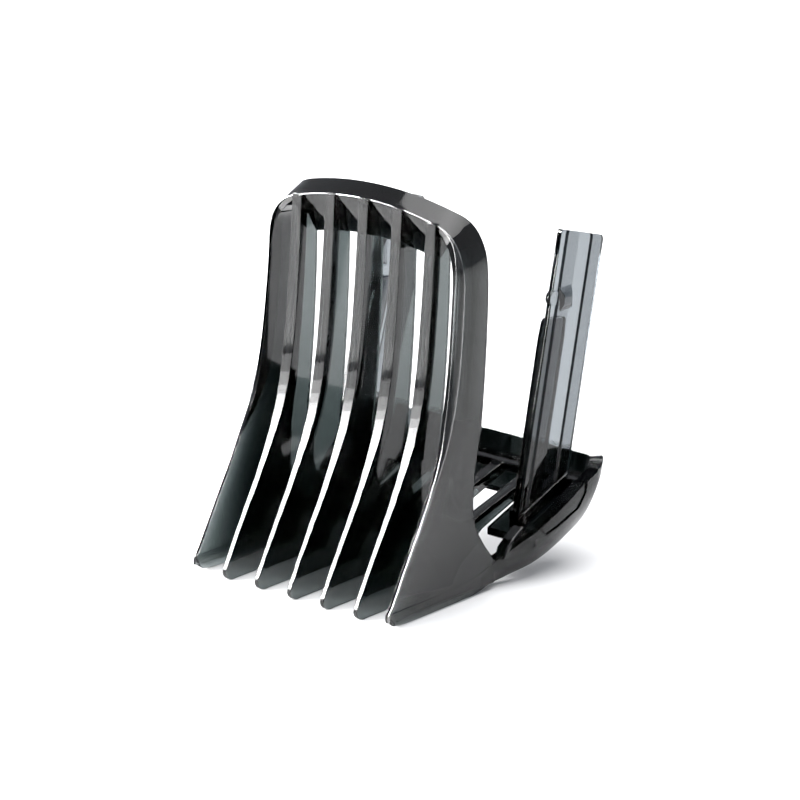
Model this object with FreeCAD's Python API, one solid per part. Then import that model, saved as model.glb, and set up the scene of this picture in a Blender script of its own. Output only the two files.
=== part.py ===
"""Slide-on guide comb of a hair clipper, life size, in millimetres.

The comb stands on its sole. +X is its right side, -Y is the side with the
fin tips, +Z is up. Everything is drawn with the fin tips at Y = 0 and moved
back by CENTRE_Y and down by SOLE_Z at the end, so the origin is under the middle
of the part, on the plane it stands on.
"""
import FreeCAD, Part
import math
import os

os.makedirs("parts", exist_ok=True)
V = FreeCAD.Vector

# ---- driving dimensions -------------------------------------------------
HALF_WIDTH = 25.0        # outer face of the side walls, from the middle
PITCH = 8.3              # fin to fin
RIB_TOP = 2.5            # fin front rib, upper half
RIB_TIP = 1.1            # fin front rib at the tip
WEB = 1.1                # fin web behind the rib
RIB_DEPTH = 2.0
WALL = 2.0               # side wall
STERN_HALF = 31.6        # half width of the wider rear part
STERN_Y = 58.0           # back of the rear rim
RIM_TOP = 22.0
RIM = 2.3                # rim wall
FLOOR_EDGE = 5.5         # width of the closed edge around the open floor
DECK_Z, DECK_Y, DECK_SLOPE = 15.5, 43.2, 0.27
RAIL_Z, RAIL_Y, RAIL_SLOPE = 6.6, 30.5, 0.60
CROWN = 0.0071           # rise of the arch towards the middle
ARCH_Z = 74.9
ARCH_HALF = 24.6         # half width at the arch's shoulders
CENTRE_Y = 32.15
SOLE_Z = 1.0             # height of the sole in the drawing; the part is set down by this much

ARM_TOE_IN = 1.9         # degrees inwards
ARM_THICK = 1.6
ARM_FACE_X = 25.0        # outer face of the guide blade at its foot
HINGE_GAP = 0.4          # between the foot and the springing blade

# side view of the right guide blade: foot front, foot back, top back, top front
ARM_CORNERS = [(38.4, 13.9), (52.8, 19.1), (64.6, 63.0), (52.2, 66.6)]

# side view of the front edge of every fin: Y, Z
FRONT = [(0.0, 2.6), (5.3, 12.4), (11.4, 22.9), (16.4, 34.0), (18.8, 45.3), (20.1, 57.0), (21.6, 74.4)]
# side view of the sole, from the tips to the stern
SOLE_TIP = [(-3.0, 2.2), (0.0, 1.7), (3.4, 1.2)]
SOLE_STERN = [(25.0, SOLE_Z), (30.5, 1.8), (36.7, 3.5), (45.0, 6.2), (51.5, 9.0), (55.6, 12.0), (57.6, 16.0)]


def spline(points, plane):
    curve = Part.BSplineCurve()
    curve.interpolate([place(p, plane) for p in points])
    return curve.toShape()


def place(p, plane):
    if plane == "yz":
        return V(0, p[0], p[1])
    if plane == "xz":
        return V(p[0], 0, p[1])
    return V(p[0], p[1], 0)


def outline(parts, plane):
    """Closed wire from a list of splines ("s", pts) and straight runs ("l", pts)."""
    edges, last, first = [], None, None
    for kind, pts in parts:
        if last is not None and last != pts[0]:
            edges.append(Part.makeLine(place(last, plane), place(pts[0], plane)))
        if kind == "s":
            edges.append(spline(pts, plane))
        else:
            edges += [Part.makeLine(place(a, plane), place(b, plane)) for a, b in zip(pts, pts[1:])]
        last = pts[-1]
        first = first or pts[0]
    if last != first:
        edges.append(Part.makeLine(place(last, plane), place(first, plane)))
    return Part.Wire(Part.__sortEdges__(edges))


def slab(parts, x0, x1):
    """Side-view outline drawn through from x0 to x1."""
    face = Part.Face(outline(parts, "yz"))
    face.translate(V(x0, 0, 0))
    return face.extrude(V(x1 - x0, 0, 0))


def front_view(parts, y0, y1, rise=0.0):
    face = Part.Face(outline(parts, "xz"))
    face.translate(V(0, y0, 0))
    return face.extrude(V(0, y1 - y0, rise * (y1 - y0)))


def box(x0, x1, y0, y1, z0, z1):
    return Part.makeBox(x1 - x0, y1 - y0, z1 - z0, V(x0, y0, z0))


def deck(y, drop=0.0):
    return DECK_Z + DECK_SLOPE * (y - DECK_Y) - drop


def rail(y):
    return RAIL_Z + RAIL_SLOPE * (y - RAIL_Y)


def mirrored(shape):
    return shape.mirror(V(0, 0, 0), V(1, 0, 0))


def one_solid(shape):
    return max(shape.Solids, key=lambda s: s.Volume)


# ---- the bowl: plan outlines stacked up, narrower towards the sole ------
# height of the level, its rear edge, and how far its sides are tucked in
BOWL_LEVELS = [(-0.6, 33.0, 3.6), (3.4, 43.5, 2.0), (8.0, 53.0, 0.7), (14.0, 56.9, 0.1), (23.0, STERN_Y, 0.0)]


def plan_wire(z, back, tuck, inset):
    """Plan outline of the stern: narrow at the side walls, wide and rounded behind."""
    spread = (STERN_HALF - HALF_WIDTH) * min(1.0, (back - 26.0) / 24.0)
    back -= inset
    x_front = HALF_WIDTH - tuck - inset
    x_back = x_front + spread
    r = 5.0 - 0.4 * inset
    y0, span = 26.0, back - r - 26.0
    side = [(x_front, y0), (x_front + 0.10 * spread, y0 + 0.17 * span),
            (x_front + 0.72 * spread, y0 + 0.52 * span), (x_back, y0 + span)]
    k = r * (1 - math.sqrt(0.5))
    corner = Part.Arc(V(x_back, back - r, z), V(x_back - k, back - k, z), V(x_back - r, back, z)).toShape()
    run = Part.BSplineCurve()
    run.interpolate([V(x, y, z) for x, y in side])
    run = run.toShape()
    rear = Part.makeLine(V(x_back - r, back, z), V(r - x_back, back, z))
    nose = Part.makeLine(V(-x_front, y0, z), V(x_front, y0, z))
    return Part.Wire([nose, run, corner, rear, mirrored(corner), mirrored(run)])


def bowl(inset):
    return Part.makeLoft([plan_wire(z, back, tuck, inset) for z, back, tuck in BOWL_LEVELS], True, False)


OUTER = bowl(0.0)
INNER = bowl(RIM)

# everything of the fins stays above this smooth sole
above_sole = slab([("s", SOLE_TIP), ("l", [SOLE_TIP[-1], (8.0, SOLE_Z), SOLE_STERN[0]]), ("s", SOLE_STERN),
                   ("l", [(60.0, 30.0), (60.0, 90.0), (-3.0, 90.0)])], -40, 40)

# ---- arch over the bays: inclined crown band, rounded corners -----------
def arch_profile(drop, half, corner):
    top = [(x, ARCH_Z - drop - CROWN * x * x) for x in (-half + corner, -8.0, 0.0, 8.0, half - corner)]
    right = [(half - corner, top[-1][1]), (half - 0.29 * corner, top[-1][1] - 0.25 * corner),
             (half, top[-1][1] - 1.05 * corner)]
    left = [(-x, z) for x, z in reversed(right)]
    return left, top, right


def arch_solid(drop, half, corner, foot, y0, y1, rise):
    left, top, right = arch_profile(drop, half, corner)
    low = [(half + 0.1, 58.0), (half + foot, 28.0), (half + foot, -5.0)]
    parts = [("l", [(-half - foot, -5.0), (-half - foot, 28.0), (-half - 0.1, 58.0), left[0]]), ("s", left),
             ("s", top), ("s", right), ("l", [right[-1]] + low)]
    return front_view(parts, y0, y1, rise)


# the outside leans in a little towards the top; the crown rises to the back
outside = arch_solid(0.0, ARCH_HALF, 6.0, 0.4, 21.7, 31.0, 0.52)
outside_front = arch_solid(0.5, ARCH_HALF, 6.0, 0.4, -3.0, 21.7, 0.0)
outside = outside.fuse(outside_front)
bay = arch_solid(1.9, ARCH_HALF - WALL, 5.0, 0.3, -5.0, 60.0, 0.0)

post_side = slab([("s", FRONT[:-1] + [(21.4, 70.0), (21.7, 78.5)]), ("l", [(25.5, 78.5), (25.5, 75.5)]),
                  ("s", [(25.5, 75.5), (27.3, 71.5), (28.8, 65.0), (28.9, 54.0), (27.6, 35.0), (25.3, 24.0),
                         (24.8, 17.0), (26.6, 11.6), (30.0, 7.6), (33.5, 6.6)]),
                  ("l", [(33.5, -3.0), (2.2, -3.0)]), ("s", [(2.2, -3.0), (1.0, 0.9), (0.0, 2.6)])], -40, 40)
wedge_side = slab([("l", [(21.7, 78.5), (25.5, 78.5), (25.5, 67.0), (24.3, 66.6), (21.7, 74.9)])], -40, 40)

shell = outside.cut(bay).common(post_side)
posts_and_arch = shell.common(above_sole)
cut_z = 62.0
side_wall_right = one_solid(posts_and_arch.common(box(0, 40, -5, 30.5, -5, cut_z)))
corner_band = posts_and_arch.common(box(-40, 40, -5, 40, cut_z, 90))
crown_block = outside.common(wedge_side).common(box(-22.5, 22.5, 0, 40, 60, 90))
arch_bar = one_solid(corner_band.fuse(crown_block).removeSplitter())

# ---- fins: front rib, thinner web, floor bar -----------------------------
FIN_BACK = [(26.4, 74.0), (25.6, 57.0), (24.8, 45.0), (23.8, 36.0), (23.3, 28.0), (23.9, 20.0), (26.2, 15.0),
            (30.5, deck(30.5))]
FIN_SOLE = [(55.0, 12.8), (51.0, 10.0), (45.0, 7.4), (36.7, 4.4), (27.0, 1.9), (12.0, 1.1), (2.2, 1.15),
            (0.7, 1.5), (0.0, 2.6)]
fin_parts = [("s", FRONT), ("l", [FRONT[-1], FIN_BACK[0]]), ("s", FIN_BACK),
             ("l", [FIN_BACK[-1], (56.2, deck(56.2)), FIN_SOLE[0]]), ("s", FIN_SOLE)]
fin_plate = slab(fin_parts, -WEB / 2, WEB / 2)
rib_back = [(y + RIB_DEPTH, z) for y, z in FRONT]
rib_side = slab([("s", FRONT), ("l", [FRONT[-1], rib_back[-1]]), ("s", list(reversed(rib_back))),
                 ("l", [rib_back[0], FIN_SOLE[-3]]), ("s", FIN_SOLE[-3:])], -3, 3)
half_rib = [(RIB_TIP / 2, 0.0), (RIB_TIP / 2, 12.0), (0.62, 22.0), (1.1, 33.0), (RIB_TOP / 2, 40.0),
            (RIB_TOP / 2, 58.0), (0.95, 76.0)]
rib_front = front_view([("s", half_rib), ("l", [(0.95, 76.0), (-0.95, 76.0)]),
                        ("s", [(-x, z) for x, z in reversed(half_rib)])], -5, 40)
fin = fin_plate.fuse(rib_side.common(rib_front))
bar_top = slab([("l", [(29.0, deck(29.0)), (56.2, deck(56.2)), (56.2, deck(56.2, 1.3)),
                       (30.0, deck(30.0, 1.3))])], -1.2, 1.2)
fin = fin.fuse(bar_top)

stern_cut = INNER.fuse(box(-40, 40, -10, 27.0, -5, 90))
fins = {}
for i, k in enumerate((-2, -1, 0, 1, 2)):
    f = fin.copy()
    f.translate(V(PITCH * k, 0, -CROWN * (PITCH * k) ** 2))
    plate = fin.copy()
    plate.translate(V(PITCH * k, 0, 0))
    upper = f.common(box(-40, 40, -5, 60, 55.0, 90))
    lower = plate.common(box(-40, 40, -5, 60, -5, 55.0))
    f = upper.fuse(lower).removeSplitter().cut(arch_bar).common(stern_cut)
    fins["fin_%d" % (i + 2)] = one_solid(f)

# ---- stern: side rails, rear rim, cross bar ------------------------------
open_floor = Part.Face(plan_wire(-5.0, STERN_Y, 0.0, FLOOR_EDGE)).extrude(V(0, 0, 45))
ring = OUTER.cut(INNER).cut(open_floor)
under_rail = slab([("l", [(25.0, rail(25.0)), (56.2, RIM_TOP), (62.0, RIM_TOP), (62.0, -5.0), (25.0, -5.0)])],
                  -40, 40)
ring = ring.common(under_rail).common(above_sole)
rear_rim = one_solid(ring.common(box(-40, 40, 52.0, 62, -5, 30)))
rail_right = one_solid(ring.common(box(10, 40, 30.5, 52.0, -5, 30)))
cross_bar = slab([("l", [(51.4, deck(51.4)), (57.0, deck(57.0)), (57.0, deck(57.0, 1.8)),
                         (51.4, deck(51.4, 1.8))])], -32, 32).common(INNER)
cross_bar = one_solid(cross_bar)
for name in fins:
    fins[name] = one_solid(fins[name].cut(cross_bar))

# ---- seats of the guide arms ---------------------------------------------
FOOT_IN = ARM_FACE_X - 3.4
(fy0, fz0), (fy1, fz1), _, _ = ARM_CORNERS
foot_slope = (fz1 - fz0) / (fy1 - fy0)


def foot(y, drop=0.0):
    return fz0 + foot_slope * (y - fy0) - drop


def arm_tab(inset_out, inset_in, grow):
    skin = bowl(inset_out).cut(bowl(inset_in)) if inset_in else bowl(inset_out)
    side = [(38.0 - grow, rail(38.0 - grow) + 4), (38.0 - grow, 11.6), (40.4, 10.0 - grow),
            (48.6, 13.6 - grow), (50.2 + grow, 16.4), (50.6 + grow, rail(50.6 + grow) + 4)]
    return slab([("l", side)], 20, 40).common(skin)


notch = slab([("l", [(38.0, 40.0), (38.0, 11.6), (40.4, 10.0), (48.6, 13.6), (50.2, 16.4), (50.6, 40.0)])],
             20, 40)
rail_right = one_solid(rail_right.cut(notch))
tab = one_solid(arm_tab(0.4, 1.7, 0.0).common(under_rail).cut(rail_right))

seat_y0, seat_y1 = fy0 - 0.4, fy1 - 1.2
seat_side = [("l", [(seat_y0, foot(seat_y0, 4.0)), (seat_y1, foot(seat_y1, 4.0)),
                    (seat_y1, foot(seat_y1, 5.6)), (seat_y0, foot(seat_y0, 5.6))])]
seat = one_solid(slab(seat_side, 2 * PITCH + WEB / 2, 40).common(INNER).cut(rail_right))
stop_side = [("l", [(31.0, 7.0), (31.4, 8.6), (33.0, 10.4), (37.2, 12.6), (38.0, 11.8), (38.0, 7.8)])]
stop = one_solid(slab(stop_side, 23.6, 40).common(INNER).cut(rail_right).cut(seat))

# clip: the base that sits on the seat, and the tab hooked into the rail
base_side = [("l", [(fy0, foot(fy0, HINGE_GAP)), (fy1 - 1.2, foot(fy1 - 1.2, HINGE_GAP)),
                    (fy1 - 1.2, foot(fy1 - 1.2, 4.0)), (fy0, foot(fy0, 4.0))])]
block = slab(base_side, FOOT_IN, ARM_FACE_X + 0.3)
tray_side = [("l", [(fy0, foot(fy0, 2.8)), (fy1 - 2.4, foot(fy1 - 2.4, 2.8)),
                    (fy1 - 2.4, foot(fy1 - 2.4, 4.0)), (fy0, foot(fy0, 4.0))])]
tray = slab(tray_side, ARM_FACE_X, 40).common(bowl(1.7))
clip_base = block.fuse(tray).removeSplitter().cut(rail_right).cut(tab).cut(stop).cut(cross_bar)
clip_base = one_solid(clip_base)

# ---- guide arm: blade, stiffener, detent nub, catch ------------------------
blade = slab([("l", ARM_CORNERS)], ARM_FACE_X - ARM_THICK, ARM_FACE_X)
round_edge = [e for e in blade.Edges if all(abs(v.Point.y - 64.6) < 0.01 for v in e.Vertexes)]
blade = blade.makeFillet(1.4, round_edge)


def along(t, w):
    """Point on the blade: t from foot (0) to top (1), w from front (0) to back (1)."""
    (a, b), (c, d), (e, f), (g, h) = ARM_CORNERS
    y = (a + (g - a) * t) * (1 - w) + (c + (e - c) * t) * w
    z = (b + (h - b) * t) * (1 - w) + (d + (f - d) * t) * w
    return y, z


channel = slab([("l", [along(-0.08, 0.42), along(-0.08, 0.72), along(1.05, 0.72), along(1.05, 0.42)])],
               ARM_FACE_X - 0.35, ARM_FACE_X + 1)
edge_step = slab([("l", [along(-0.1, -0.1), along(-0.1, 0.1), along(1.1, 0.1), along(1.1, -0.1)])],
                 ARM_FACE_X - 0.5, ARM_FACE_X + 1)
blade = one_solid(blade.cut(channel).cut(edge_step))
stiff = slab([("l", [along(0.0, 0.0), along(0.0, 0.46), along(0.68, 0.46), along(0.68, 0.0)])],
             ARM_FACE_X - ARM_THICK - 1.5, ARM_FACE_X - ARM_THICK)
top_edges = [e for e in stiff.Edges if all(abs(v.Point.z - along(0.68, 0.0)[1]) < 0.01 for v in e.Vertexes)]
stiff = stiff.makeFillet(1.6, top_edges)
ny, nz = along(0.755, 0.0)
nub = Part.makeCylinder(1.5, ARM_THICK - 0.5, V(ARM_FACE_X - ARM_THICK, ny + 0.7, nz), V(1, 0, 0))
nub = one_solid(nub.cut(blade))
cy, cz = along(0.755, 0.27)
catch = Part.makePolygon([V(0, -1.8, -2.3), V(0, 1.8, -2.3), V(0, 1.8, 2.3), V(0, -1.8, 2.3),
                          V(0, -1.8, -2.3)])
catch_top = Part.makePolygon([V(0.8, -1.8, -0.7), V(0.8, 1.0, -0.7), V(0.8, 1.0, 0.7), V(0.8, -1.8, 0.7),
                              V(0.8, -1.8, -0.7)])
catch = Part.makeLoft([catch, catch_top], True, True)
catch.translate(V(ARM_FACE_X, cy, cz))


def toe_in(shape):
    shape = shape.copy()
    shape.rotate(V(ARM_FACE_X - ARM_THICK / 2, 0, fz0), V(0, 1, 0), -ARM_TOE_IN)
    return shape


pieces = {"arch_bar": arch_bar, "rear_rim": rear_rim, "cross_bar": cross_bar}
pieces.update(fins)
paired = {"side_wall": side_wall_right, "side_rail": rail_right, "arm_seat": seat, "arm_stop": stop,
          "clip_base": clip_base, "clip_tab": tab, "guide_blade": toe_in(blade),
          "blade_stiffener": toe_in(stiff), "detent_nub": toe_in(nub), "catch_wedge": toe_in(catch)}
for name, shape in paired.items():
    pieces[name + "_right"] = shape
    pieces[name + "_left"] = mirrored(shape)

for name, shape in sorted(pieces.items()):
    shape = shape.copy()
    shape.translate(V(0, -CENTRE_Y, -SOLE_Z))
    shape.exportStep("parts/%s.step" % name)
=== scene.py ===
import math

import bpy
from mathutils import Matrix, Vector


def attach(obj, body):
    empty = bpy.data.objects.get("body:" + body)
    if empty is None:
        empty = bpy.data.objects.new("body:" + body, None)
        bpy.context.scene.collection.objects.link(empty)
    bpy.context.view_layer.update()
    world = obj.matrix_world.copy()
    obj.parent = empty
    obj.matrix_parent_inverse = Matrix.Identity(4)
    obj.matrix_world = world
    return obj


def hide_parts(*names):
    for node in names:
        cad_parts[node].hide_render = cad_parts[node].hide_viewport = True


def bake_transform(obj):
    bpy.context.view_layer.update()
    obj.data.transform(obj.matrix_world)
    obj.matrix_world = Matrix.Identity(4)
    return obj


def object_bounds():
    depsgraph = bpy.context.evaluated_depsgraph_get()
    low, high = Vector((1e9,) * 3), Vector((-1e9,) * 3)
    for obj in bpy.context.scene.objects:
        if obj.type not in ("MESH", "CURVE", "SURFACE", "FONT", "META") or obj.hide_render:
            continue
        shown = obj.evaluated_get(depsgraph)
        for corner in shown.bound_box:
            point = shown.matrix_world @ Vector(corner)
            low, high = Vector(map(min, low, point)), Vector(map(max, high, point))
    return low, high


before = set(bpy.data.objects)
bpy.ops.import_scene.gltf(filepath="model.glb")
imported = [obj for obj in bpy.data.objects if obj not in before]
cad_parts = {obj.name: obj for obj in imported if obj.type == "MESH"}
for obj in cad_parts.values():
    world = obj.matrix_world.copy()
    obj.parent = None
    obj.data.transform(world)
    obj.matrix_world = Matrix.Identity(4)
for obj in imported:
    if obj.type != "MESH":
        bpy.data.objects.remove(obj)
cad_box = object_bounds()
bpy.ops.object.select_all(action="DESELECT")

# ---- Side rails, stern and rim ---------------------------------------------
# One band of smoke-grey styrene runs from the right tip, back along the sole,
# flares out, turns round the stern and returns to the left tip. It is part of
# the single comb moulding; its top edge is the rail that the eye follows.
MM = 0.001
TIP_Y = cad_box[0].y            # the fin tips; every depth is counted back from them
SOLE_Z = 1.0                    # height of the sole in the drawing, set down on the table
HALF_WIDTH = 24.95              # outside of the side walls, mm from the middle
STERN_HALF = 31.55
CORNER = 5.0                    # plan radius of the stern's corners
STERN_Y = 58.0


def faired(at, points):
    """Value on a smooth curve through a few (place, value) points."""
    if at <= points[0][0]:
        return points[0][1]
    if at >= points[-1][0]:
        return points[-1][1]
    slopes = [(b[1] - a[1]) / (b[0] - a[0]) for a, b in zip(points, points[1:])]
    bends = [slopes[0]] + [0.0 if a * b <= 0 else 2 * a * b / (a + b) for a, b in zip(slopes, slopes[1:])]
    bends.append(slopes[-1])
    i = max(k for k, p in enumerate(points[:-1]) if p[0] <= at)
    (t0, v0), (t1, v1) = points[i], points[i + 1]
    span = t1 - t0
    t = (at - t0) / span
    return (v0 * (1 + 2 * t) * (1 - t) ** 2 + bends[i] * span * t * (1 - t) ** 2
            + v1 * t * t * (3 - 2 * t) + bends[i + 1] * span * t * t * (t - 1))


def swept(name, rings):
    """Closed bar whose cross-sections are the rings, each a loop of points in mm."""
    around = len(rings[0])
    bpy.ops.mesh.primitive_grid_add(x_subdivisions=around, y_subdivisions=len(rings) - 1, size=1)
    piece = bpy.context.object
    piece.name = piece.data.name = name
    places = [p for ring in rings for p in (*ring, ring[0])]
    for vertex, (x, y, z) in zip(piece.data.vertices, places):
        vertex.co = (x * MM, y * MM + TIP_Y, (z - SOLE_Z) * MM)
    bpy.ops.object.mode_set(mode="EDIT")
    bpy.ops.mesh.select_all(action="SELECT")
    bpy.ops.mesh.remove_doubles(threshold=0.000005)
    bpy.ops.mesh.fill_holes(sides=0)
    bpy.ops.mesh.select_all(action="SELECT")
    bpy.ops.mesh.normals_make_consistent(inside=False)
    bpy.ops.object.mode_set(mode="OBJECT")
    return piece


def rounded(piece, width, segments=2, angle=40):
    """Rounds the moulded edges of a piece."""
    bpy.context.view_layer.objects.active = piece
    bpy.ops.object.modifier_add(type="BEVEL")
    bevel = piece.modifiers[-1]
    bevel.width, bevel.segments = width * MM, segments
    bevel.limit_method, bevel.angle_limit = "ANGLE", math.radians(angle)
    bevel.use_clamp_overlap = True
    bpy.ops.object.modifier_apply(modifier=bevel.name)
    return piece


def both_sides(half):
    """A half's rings, and their mirror images going back to the other end."""
    return half + [[(-x, y, z) for x, y, z in ring] for ring in reversed(half[:-1])]


# Seen from the side, the rail's top edge and the sole: (depth from the fin tips, height).
RAIL = [(0, 4.2), (12, 4.3), (22, 4.7), (30, 6.4), (36, 9.9), (44, 14.8), (53, 20.2), (56.5, 21.9),
        (STERN_Y, 22.0)]
SOLE = [(0.3, 3.3), (0.9, 2.1), (1.8, 1.45), (3.4, 1.15), (8, 1.0), (25, 1.0), (30.5, 1.9), (36.7, 3.8),
        (45, 6.7), (51.5, 9.4), (56, 11.2), (STERN_Y, 11.6)]
# Seen from above, how the sides flare out: (depth, half width).
FLARE = [(0, HALF_WIDTH), (26, HALF_WIDTH), (30, 25.05), (32.7, 26.0), (35, 27.1), (38.3, 28.9), (43, 30.3),
         (50.5, 31.3), (53, STERN_HALF)]
# Depths at which the straight part of the rail has a cross-section.
RAIL_STATIONS = (0.3, 0.9, 1.8, 3.4, 6, 10, 15, 20, 25, 28, 30, 31.3, 32.5, 33.7, 35, 36.4, 38, 40, 42.5,
                 45.5, 48.5, 51)


def hull_line():
    """Plan of the rail's outer edge, from the right tip to the middle of the rim."""
    line = [(faired(y, FLARE), y) for y in RAIL_STATIONS]
    for step in range(9):
        turn = math.radians(90 * step / 8)
        line.append((STERN_HALF - CORNER * (1 - math.cos(turn)), STERN_Y - CORNER * (1 - math.sin(turn))))
    return line + [(x, STERN_Y) for x in (21, 14, 7, 0)]


def hull_rings(recess=0.0):
    """The band's cross-sections, from the right tip to the middle, set in by the recess."""
    line, rings = hull_line(), []
    for i, (x, y) in enumerate(line):
        before, after = line[max(i - 1, 0)], line[min(i + 1, len(line) - 1)]
        if i == len(line) - 1:
            before, after = (1, STERN_Y), (-1, STERN_Y)
        ahead = Vector((after[0] - before[0], after[1] - before[1])).normalized()
        inward = Vector((-ahead.y, ahead.x))
        top, sole = faired(y, RAIL), faired(y, SOLE)
        tuck = faired(y, [(0, 0.5), (25, 0.9), (31, 1.5), (45, 3.0), (53, 3.8), (58, 5.0)])
        rail = faired(y, [(0, 1.0), (12, 1.05), (24, 1.6), (30, 2.7), (34, 3.0), (50, 3.0), (58, 2.5)])
        under = faired(y, [(0, 0.45), (24, 0.9), (31, 2.0), (50, 2.2)])
        section = [(tuck * (1 - share) ** 1.9, sole + (top - sole) * share)
                   for share in (1, 0.8, 0.6, 0.4, 0.2, 0)]
        section += [(tuck + under, sole), (tuck * 0.27 + 0.75 * rail + 0.25 * under + 0.2, (top + sole) / 2),
                    (rail, top)]
        rings.append([(x + inward.x * (m + recess), y + inward.y * (m + recess), z) for m, z in section])
    return rings


hull = rounded(swept("comb_moulding", both_sides(hull_rings())), 0.45, 3, 35)

# ---- Side walls and arch ----------------------------------------------------
# The two side walls rise from the rails as posts and meet in the arch that
# ties the fins together. The arch's top is an inclined glossy band, and its
# lower edge hangs down between the fins as a thin skirt.
# Both are (run, depth), where the run is the height on the posts and goes on over the arch.
FRONT = [(0, 1.8), (2.2, 0.3), (3.3, 0.0), (5.6, 1.35), (12.4, 5.3), (22.9, 11.4), (34, 16.4), (45.3, 18.8),
         (57, 20.1), (66, 20.9), (76, 21.85), (93, 21.9)]
POST_BACK = [(2, 30.6), (6.6, 30.9), (7.4, 30.4), (8.4, 29.5), (9.5, 28.6), (11.6, 27.1), (14.7, 25.4),
             (18.5, 24.6), (23.3, 24.8), (29.7, 25.9), (34.8, 27.0), (46.5, 28.2), (54, 28.8), (61, 29.2),
             (66, 29.0), (70, 28.3), (74, 27.0), (77, 26.0), (94, 25.5)]
POST_STATIONS = (2.4, 3.3, 4.3, 5.4, 6.6, 7.4, 8.4, 9.5, 11, 13, 15, 17, 19, 22, 25, 28, 31, 34, 38, 42, 46,
                 50, 54, 58, 62)
CROWN_TOP = 74.7
CROWN = 0.0071                  # how the arch falls away from its middle
SHOULDER = 17.5                 # where the crown turns into the corner
POST_TOP = 62                   # where the post turns into the corner
POST_TOP_HALF = 24.5
CORNER_RUN = 14                 # share of the run that the corner takes


def crown_height(x):
    return CROWN_TOP - CROWN * x * x


def arch_line():
    """Front view of the outside, from the right sole to the middle of the arch: (run, x, z)."""
    lean = [(0, 24.9), (28, 24.9), (46, 24.8), (57, 24.6), (POST_TOP, POST_TOP_HALF)]
    line = [(z, faired(z, lean), z) for z in POST_STATIONS]
    start, end = Vector((POST_TOP_HALF, POST_TOP)), Vector((SHOULDER, crown_height(SHOULDER)))
    out = Vector((-1, 2 * CROWN * SHOULDER)).normalized()
    a, b = start + Vector((-0.2, 6.6)), end - out * 4.6
    for step in range(1, 13):
        t = step / 12
        p = start * (1 - t) ** 3 + 3 * a * t * (1 - t) ** 2 + 3 * b * t * t * (1 - t) + end * t ** 3
        line.append((POST_TOP + CORNER_RUN * t, p.x, p.y))
    crown = (16.5, 15.5, 14.2, 12.5, 10.5, 8.5, 6, 3, 0)
    return line + [(POST_TOP + CORNER_RUN + SHOULDER - x, x, crown_height(x)) for x in crown]


def arch_rings():
    """Cross-sections of post and arch: front lip, rounded nose, top, rear edge and inner side."""
    line, rings = arch_line(), []
    for i, (run, x, z) in enumerate(line):
        before, after = line[max(i - 1, 0)], line[min(i + 1, len(line) - 1)]
        ahead = Vector((after[1] - before[1], after[2] - before[2])).normalized()
        if i == len(line) - 1:
            ahead = Vector((-1, 0))
        out = Vector((ahead.y, -ahead.x))
        front, back = faired(run, FRONT), faired(run, POST_BACK)
        rise = faired(run, [(63, 0), (68, 0.6), (73, 1.8), (77, 2.2)])
        lip = faired(run, [(0, 0.9), (25, 1.0), (34, 1.7), (40, 2.0), (70, 1.9), (76, 0.9), (80, 0.6)])
        wall = faired(run, [(0, 2.4), (20, 2.4), (30, 2.3), (60, 2.0), (74.5, 2.4), (77.2, 7.7), (93, 7.7)])
        nose = faired(run, [(0, 0.25), (25, 0.4), (40, 1.2), (60, 1.4), (66, 0.9), (71, 0.4), (76, 0.18)])
        tail = faired(run, [(0, 0.5), (20, 0.9), (66, 0.9), (76, 0.5)])
        skirt = faired(run, [(72, 0.55), (78, 0.68), (93, 0.68)])
        section = [(front, -lip)]
        for turn in (0, 30, 60, 90):
            t = math.radians(turn)
            section.append((front + nose * (1 - math.sin(t)), -nose * (1 - math.cos(t))))
        for share in (0.35, 0.7):
            section.append((front + nose + (back - tail - front - nose) * share, rise * share))
        for turn in (0, 30, 60, 90):
            t = math.radians(turn)
            section.append((back - tail * (1 - math.sin(t)), rise - tail * (1 - math.cos(t))))
        section.append((back, -wall))
        section.append((front + (back - front) * skirt, -wall))
        rings.append([(x + out.x * n, y, z + out.y * n) for y, n in section])
    return rings


arch = swept("arch_and_posts", both_sides(arch_rings()))
rounded(arch, 0.15, 2, 50)

# ---- Fins and floor bars ----------------------------------------------------
# Five fins stand between the side walls. Each has a stout rib along its front,
# a thin see-through web behind it, and runs on under the deck as a floor bar.
PITCH = 8.3
WEB = [(0, 0.5), (18, 0.64), (36, 0.55), (56, 0.46), (75, 0.46)]        # half of the web's thickness
RIB = [(0, 0.5), (8, 0.5), (14, 0.56), (22, 0.7), (28, 0.9), (34, 1.15), (41, 1.3), (58, 1.28), (66, 1.22),
       (75, 1.15)]              # half of the rib's width
RIB_DEPTH = 1.9
FIN_FRONT = [(1.0, 1.9), (1.4, 0.7), (2.6, 0.0), (5.3, 1.25), (12.4, 5.3), (22.9, 11.4), (34, 16.4),
             (45.3, 18.8), (57, 20.1), (75, 21.5)]
FIN_BACK = [(0.9, 27), (11.5, 31.5), (12.6, 30), (15, 26.4), (20, 23.9), (28, 23.6), (36, 24.5), (45, 25.5),
            (57, 26.4), (75, 26.9)]
FIN_STATIONS = (1.0, 1.4, 1.9, 2.6, 3.6, 5.3, 8, 11.5, 12.6, 13.8, 15, 17, 20, 24, 28, 32, 36, 40, 45, 50,
                57, 64)


def deck(y):
    """Height of the open floor, which rises towards the stern."""
    return 15.5 + 0.27 * (y - 43.2)


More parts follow.
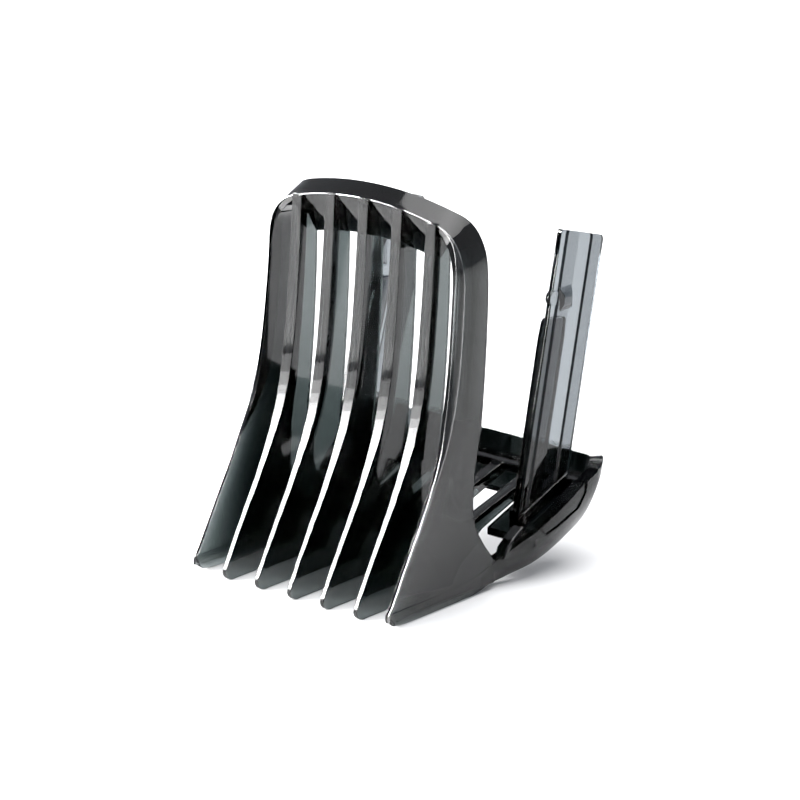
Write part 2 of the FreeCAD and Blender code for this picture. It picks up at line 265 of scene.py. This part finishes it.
def upright_rings(x):
    """A fin's level cross-sections, rib in front and web behind, from the sole up into the arch."""
    rings = []
    for z in (*FIN_STATIONS, crown_height(x) + 0.03):
        front, back, half = faired(z, FIN_FRONT), faired(z, FIN_BACK), faired(z, RIB)
        web = min(faired(z, WEB), half - 0.04)
        rib_back, web_front = front + RIB_DEPTH, front + RIB_DEPTH + 0.4
        edge = [(half, front), (half, rib_back), (web, web_front), (web, back)]
        left, right = [(x - side, y, z) for side, y in edge], [(x + side, y, z) for side, y in edge]
        rings.append([left[0], *right, *reversed(left[1:])])
    return rings


def floor_bar_rings(x):
    """A floor bar's upright cross-sections: a flat top with a thin keel under it."""
    rings = []
    for y in (24.5, 27, 31, 36, 42, 48, 52, 55.5):
        top = deck(y)
        low = top - faired(y, [(24.5, 8.5), (31, 6.0), (36, 3.8), (50, 3.0), (56, 2.2)])
        edge = [(1.2, top), (1.2, top - 1.2), (0.62, top - 1.7), (0.5, low)]
        rings.append([(x - half, y, z) for half, z in edge]
                     + [(x + half, y, z) for half, z in reversed(edge)])
    return rings


fins = []
for number in range(5):
    x = PITCH * (number - 2)
    fins.append(rounded(swept(f"fin_{number + 2}", upright_rings(x)), 0.14, 2, 40))
    fins.append(rounded(swept(f"floor_bar_{number + 2}", floor_bar_rings(x)), 0.15, 2, 50))

# ---- Cross bar, seats and stops ---------------------------------------------
# A flat bar closes the open floor at the stern. Beside the last fins a small
# ledge carries each guide arm, with a wedge in front of it that the foot meets.


def slab(name, outline, x0, x1):
    """A plate between two distances from the middle, drawn as its side view."""
    return swept(name, [[(x0, y, z) for y, z in outline], [(x1, y, z) for y, z in outline]])


FOOT_SLOPE = 0.361
FOOT_Y, FOOT_Z = 38.4, 13.9     # front corner of a guide arm's foot


def foot(y, drop=0.0):
    """Height of the sloping foot line, or of a line that far below it."""
    return FOOT_Z + FOOT_SLOPE * (y - FOOT_Y) - drop


BAR_Y = (51.5, 56.5)
BAR_THICK = 1.8
SEAT_Y = (37.8, 52.3)
SEAT_DROP = (4.0, 5.6)          # top and underside of the seat, below the foot line
STOP = [(31.6, 6.6), (32.4, 8.8), (34.5, 10.3), (37.4, 12.0), (38.0, 11.4), (38.0, 7.8)]


def level_strip(ends, upper, lower):
    """Side view of a flat bar, with its upper and lower lines given as heights over depth."""
    front, rear = ends
    return [(front, upper(front)), (rear, upper(rear)), (rear, lower(rear)), (front, lower(front))]


bar = level_strip(BAR_Y, lambda y: deck(y) + 0.05, lambda y: deck(y) - BAR_THICK)
seat = level_strip(SEAT_Y, lambda y: foot(y, SEAT_DROP[0]), lambda y: foot(y, SEAT_DROP[1]))
details = [rounded(slab("cross_bar", bar, -28.9, 28.9), 0.3, 3)]
for side in (1, -1):
    details.append(rounded(slab("arm_seat", seat, side * 16.8, side * 28.8), 0.2))
    details.append(rounded(slab("arm_stop", STOP, side * 23.7, side * 26.2), 0.35, 3))

# ---- The comb as one moulding -------------------------------------------------
# Rails, walls, arch, fins, floor and seats come out of one mould, so they are
# joined here. The rail is first cut away where each guide arm's tab hooks in.


def hook_outline(gap):
    """Side view of the place in the rail where a guide arm's tab hooks in."""
    return [(38.0 - gap, 26.0), (38.0 - gap, 12.4 - gap), (40.5 - gap, 10.2 - gap), (48.6 + gap, 13.7 - gap),
            (50.0 + gap, 16.4), (50.6 + gap, 26.0)]


def combined(whole, part, operation):
    """Joins a part to the whole, or cuts it out of it, or keeps what both share."""
    bpy.context.view_layer.objects.active = whole
    bpy.ops.object.modifier_add(type="BOOLEAN")
    step = whole.modifiers[-1]
    step.operation, step.solver, step.object = operation, "MANIFOLD", part
    bpy.ops.object.modifier_apply(modifier=step.name)
    bpy.data.objects.remove(part)
    return whole


def polished(piece):
    """Smooth shading that leaves the flats flat and blends only over the rounded edges."""
    bpy.ops.object.select_all(action="DESELECT")
    piece.select_set(True)
    bpy.context.view_layer.objects.active = piece
    bpy.ops.object.shade_smooth_by_angle(angle=math.radians(38))
    bpy.ops.object.modifier_add(type="WEIGHTED_NORMAL")
    piece.modifiers[-1].keep_sharp = True
    piece.modifiers[-1].weight = 100
    bpy.ops.object.modifier_apply(modifier=piece.modifiers[-1].name)
    return piece


for side in (1, -1):
    combined(hull, slab("hook_place", hook_outline(0.12), side * 24, side * 36), "DIFFERENCE")
for part in [arch, *fins, *details]:
    combined(hull, part, "UNION")

comb = polished(hull)


def smoke_plastic(name, tint, density):
    """Glossy moulded styrene, dyed smoke grey right through, so thin walls look lighter."""
    material = bpy.data.materials.new(name)
    material.use_nodes = True
    nodes, links = material.node_tree.nodes, material.node_tree.links
    shader = nodes["Principled BSDF"]
    shader.inputs["Base Color"].default_value = (0.93, 0.96, 0.96, 1)
    shader.inputs["IOR"].default_value = 1.5
    shader.inputs["Transmission Weight"].default_value = 1.0
    shader.inputs["Specular IOR Level"].default_value = 0.5
    place = nodes.new("ShaderNodeTexCoord")
    handling = nodes.new("ShaderNodeTexNoise")
    handling.inputs["Scale"].default_value = 160
    handling.inputs["Detail"].default_value = 3
    gloss = nodes.new("ShaderNodeMapRange")
    gloss.inputs["From Min"].default_value, gloss.inputs["From Max"].default_value = 0.35, 0.75
    gloss.inputs["To Min"].default_value, gloss.inputs["To Max"].default_value = 0.03, 0.08
    links.new(place.outputs["Object"], handling.inputs["Vector"])
    links.new(handling.outputs["Fac"], gloss.inputs["Value"])
    links.new(gloss.outputs["Result"], shader.inputs["Roughness"])
    sink = nodes.new("ShaderNodeTexNoise")
    sink.inputs["Scale"].default_value = 110
    sink.inputs["Detail"].default_value = 0.5
    ripple = nodes.new("ShaderNodeBump")
    ripple.inputs["Strength"].default_value = 0.01
    ripple.inputs["Distance"].default_value = 0.0004
    links.new(place.outputs["Object"], sink.inputs["Vector"])
    links.new(sink.outputs["Fac"], ripple.inputs["Height"])
    links.new(ripple.outputs["Normal"], shader.inputs["Normal"])
    dye = nodes.new("ShaderNodeVolumeAbsorption")
    dye.inputs["Color"].default_value = (*tint, 1)
    dye.inputs["Density"].default_value = density
    links.new(dye.outputs["Volume"], nodes["Material Output"].inputs["Volume"])
    return material


smoke = smoke_plastic("smoke_comb", (0.0, 0.06, 0.06), 2600)
comb.data.materials.clear()
comb.data.materials.append(smoke)
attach(comb, "comb")
ARM_NODES = ("clip_base", "clip_tab", "guide_blade", "blade_stiffener", "detent_nub", "catch_wedge")
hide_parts(*[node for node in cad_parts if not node.startswith(ARM_NODES)])

# ---- Guide arms --------------------------------------------------------------
# Each arm is its own moulding of the same styrene: a springy upright blade with
# a stiffener inside, a click nub and a catch, on a foot hooked into the rail.
ARM_CORNERS = [(38.4, 13.9), (52.8, 19.1), (64.6, 63.0), (52.2, 66.6)]
ARM_THICK = 1.6
ARM_FACE = 25.0                 # outer face at the foot, from the middle
ARM_MIDDLE = ARM_FACE - ARM_THICK / 2
TOE_IN = math.radians(1.9)
CLICK = 0.755                   # how far up the blade the nub and the catch sit
NUB_RADIUS = 1.5


def along(t, w):
    """Side view of the blade: t from foot to top, w from front edge to back edge."""
    (a, b), (c, d), (e, f), (g, h) = ARM_CORNERS
    return ((a + (g - a) * t) * (1 - w) + (c + (e - c) * t) * w,
            (b + (h - b) * t) * (1 - w) + (d + (f - d) * t) * w)


def leaned(x, y, z):
    """The blade's slight lean towards the middle, about its foot."""
    dx, dz = x - ARM_MIDDLE, z - FOOT_Z
    return (ARM_MIDDLE + dx * math.cos(TOE_IN) - dz * math.sin(TOE_IN), y,
            FOOT_Z + dx * math.sin(TOE_IN) + dz * math.cos(TOE_IN))


def blade_rings():
    """Sections of the blade: a stepped front edge, a flat, a shallow channel and the rear land."""
    land = [(0.0, -0.9), (0.0, -0.45), (0.10, -0.45), (0.12, 0.0), (0.39, 0.0), (0.42, -0.35), (0.68, -0.35),
            (0.71, 0.0), (0.97, 0.0), (1.0, -0.3), (1.0, -ARM_THICK), (0.5, -ARM_THICK), (0.0, -ARM_THICK)]
    rings = []
    for t in (-0.02, 0.1, 0.3, 0.5, 0.7, 0.9, 0.985):
        rings.append([leaned(ARM_FACE + n, *along(t, w)) for w, n in land])
    rings.append([leaned(ARM_FACE + n, *along(1.0, 0.02 + 0.94 * w)) for w, n in land])
    return rings


def stiffener_rings():
    """Sections of the rib inside the blade, which draws in at its top end."""
    rings = []
    for t, inset in ((-0.02, 0.0), (0.2, 0.0), (0.4, 0.0), (0.6, 0.0), (0.665, 0.02), (0.68, 0.06)):
        rings.append([leaned(ARM_FACE + n, *along(t, w)) for w, n in
                      ((0.02 + inset, -ARM_THICK + 0.1), (0.46 - inset, -ARM_THICK + 0.1),
                       (0.44 - inset, -ARM_THICK - 1.5), (0.04 + inset, -ARM_THICK - 1.5))])
    return rings


def click_nub():
    """The round nub on the blade's front edge that clicks into the clipper."""
    y, z = along(CLICK, 0.0)
    bpy.ops.mesh.primitive_cylinder_add(vertices=32, radius=NUB_RADIUS * MM, depth=1.3 * MM,
                                        rotation=(0, math.pi / 2, 0),
                                        location=(22.75 * MM, (y + 0.7) * MM + TIP_Y, (z - SOLE_Z) * MM))
    bpy.ops.object.transform_apply()
    return rounded(bpy.context.object, 0.25, 2)


def catch():
    """The small raised wedge on the blade's outer face."""
    y, z = along(CLICK, 0.27)
    corners = ((-1, -1), (1, -1), (1, 1), (-1, 1))
    wedge = [[leaned(ARM_FACE + n, y + a * half_y, z + b * half_z) for a, b in corners]
             for n, half_y, half_z in ((-0.3, 1.9, 2.4), (0.0, 1.9, 2.4), (0.8, 1.2, 0.8))]
    return rounded(swept("catch", wedge), 0.2, 2)


def foot_pieces():
    """The block under the blade, the tray beside it and the tab that lies flush in the rail."""
    block = [(FOOT_Y + 0.1, foot(FOOT_Y, -0.25)), (51.8, foot(51.8, -0.25)), (51.8, foot(51.8, 3.95)),
             (FOOT_Y + 0.1, foot(FOOT_Y, 3.95))]
    tray = [(FOOT_Y + 0.3, foot(FOOT_Y, 2.9)), (50.2, foot(50.2, 2.9)), (50.2, foot(50.2, 3.9)),
            (FOOT_Y + 0.3, foot(FOOT_Y, 3.9))]
    pieces = [rounded(slab("foot_block", block, 21.6, 25.4), 0.3, 2),
              rounded(slab("tray", tray, 25.0, 28.6), 0.2, 2)]
    tab = rounded(swept("tab", both_sides(hull_rings(0.3))), 0.3, 2, 35)
    return [*pieces, combined(tab, slab("tab_outline", hook_outline(-0.12), 26.2, 36), "INTERSECT")]


def guide_arm():
    blade = rounded(swept("right_guide_arm", blade_rings()), 0.12, 2, 35)
    extras = [rounded(swept("stiffener", stiffener_rings()), 0.3, 2), click_nub(), catch(), *foot_pieces()]
    for part in extras:
        combined(blade, part, "UNION")
    return polished(blade)


smoke_arm = smoke_plastic("smoke_arm", (0.0, 0.04, 0.08), 1150)
right = guide_arm()
right.data.materials.clear()
right.data.materials.append(smoke_arm)
bpy.ops.object.duplicate()
left = bpy.context.object
left.name = left.data.name = "left_guide_arm"
left.scale.x = -1
bpy.ops.object.transform_apply()
bpy.ops.object.mode_set(mode="EDIT")
bpy.ops.mesh.select_all(action="SELECT")
bpy.ops.mesh.normals_make_consistent(inside=False)
bpy.ops.object.mode_set(mode="OBJECT")
for arm, side in ((right, "right"), (left, "left")):
    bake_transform(arm)
    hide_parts(*[f"{node}_{side}" for node in ARM_NODES])

# ---- Table, light and camera -------------------------------------------------
# A white table under soft boxes: one in front on the left that fades towards the
# table, one overhead and a faint one behind.
bpy.ops.mesh.primitive_plane_add(size=6, location=(0, 0, 0))
table = bpy.context.object
table.name = table.data.name = "table"
paper = bpy.data.materials.new("white_table")
paper.use_nodes = True
surface = paper.node_tree.nodes["Principled BSDF"].inputs
surface["Base Color"].default_value = (0.9, 0.9, 0.9, 1)
surface["Roughness"].default_value = 0.9
surface["Specular IOR Level"].default_value = 0.0
table.data.materials.append(paper)


def soft_box(name, azimuth, elevation, distance, width, height, power):
    """Area light aimed at the comb's middle. Azimuth 0 is in front, 90 to the right."""
    a, e = math.radians(azimuth), math.radians(elevation)
    back = Vector((math.sin(a) * math.cos(e), -math.cos(a) * math.cos(e), math.sin(e)))
    target = Vector((0, 0, 0.035))
    bpy.ops.object.light_add(type="AREA", location=target + back * distance)
    light = bpy.context.object
    light.name = name
    light.data.shape = "RECTANGLE"
    light.data.size, light.data.size_y = width, height
    light.data.energy = power
    light.data.spread = math.radians(110)
    light.rotation_euler = back.to_track_quat("Z", "Y").to_euler()
    return light


FRONT_LEFT, BACK_LEFT = -43, -139
soft_box("front_box", FRONT_LEFT, 25, 1.1, 0.5, 0.43, 11)
for elevation, power in ((12.5, 1.0), (9.5, 0.67), (6.5, 0.41), (3.5, 0.22), (0.5, 0.1)):
    soft_box("front_fade", FRONT_LEFT, elevation, 1.1, 0.5, 0.058, power)
soft_box("top_box", 0, 88, 1.4, 1.6, 1.6, 15)
soft_box("back_box", BACK_LEFT, 17, 1.2, 0.6, 0.3, 1.3)

world = bpy.data.worlds.new("studio")
bpy.context.scene.world = world
world.use_nodes = True
room = world.node_tree.nodes["Background"].inputs
room["Color"].default_value = (0.9, 0.93, 1.0, 1)
room["Strength"].default_value = 0.5
bpy.context.scene.view_settings.view_transform = "Standard"

bpy.ops.object.camera_add(location=(0.4931, -0.5676, 0.2683))
camera = bpy.context.object
camera.data.lens, camera.data.sensor_width = 186.0, 36.0
aim = Vector((0.00433, -0.00529, 0.03407)) - camera.location
camera.rotation_euler = aim.to_track_quat("-Z", "Y").to_euler()
bpy.context.scene.camera = camera
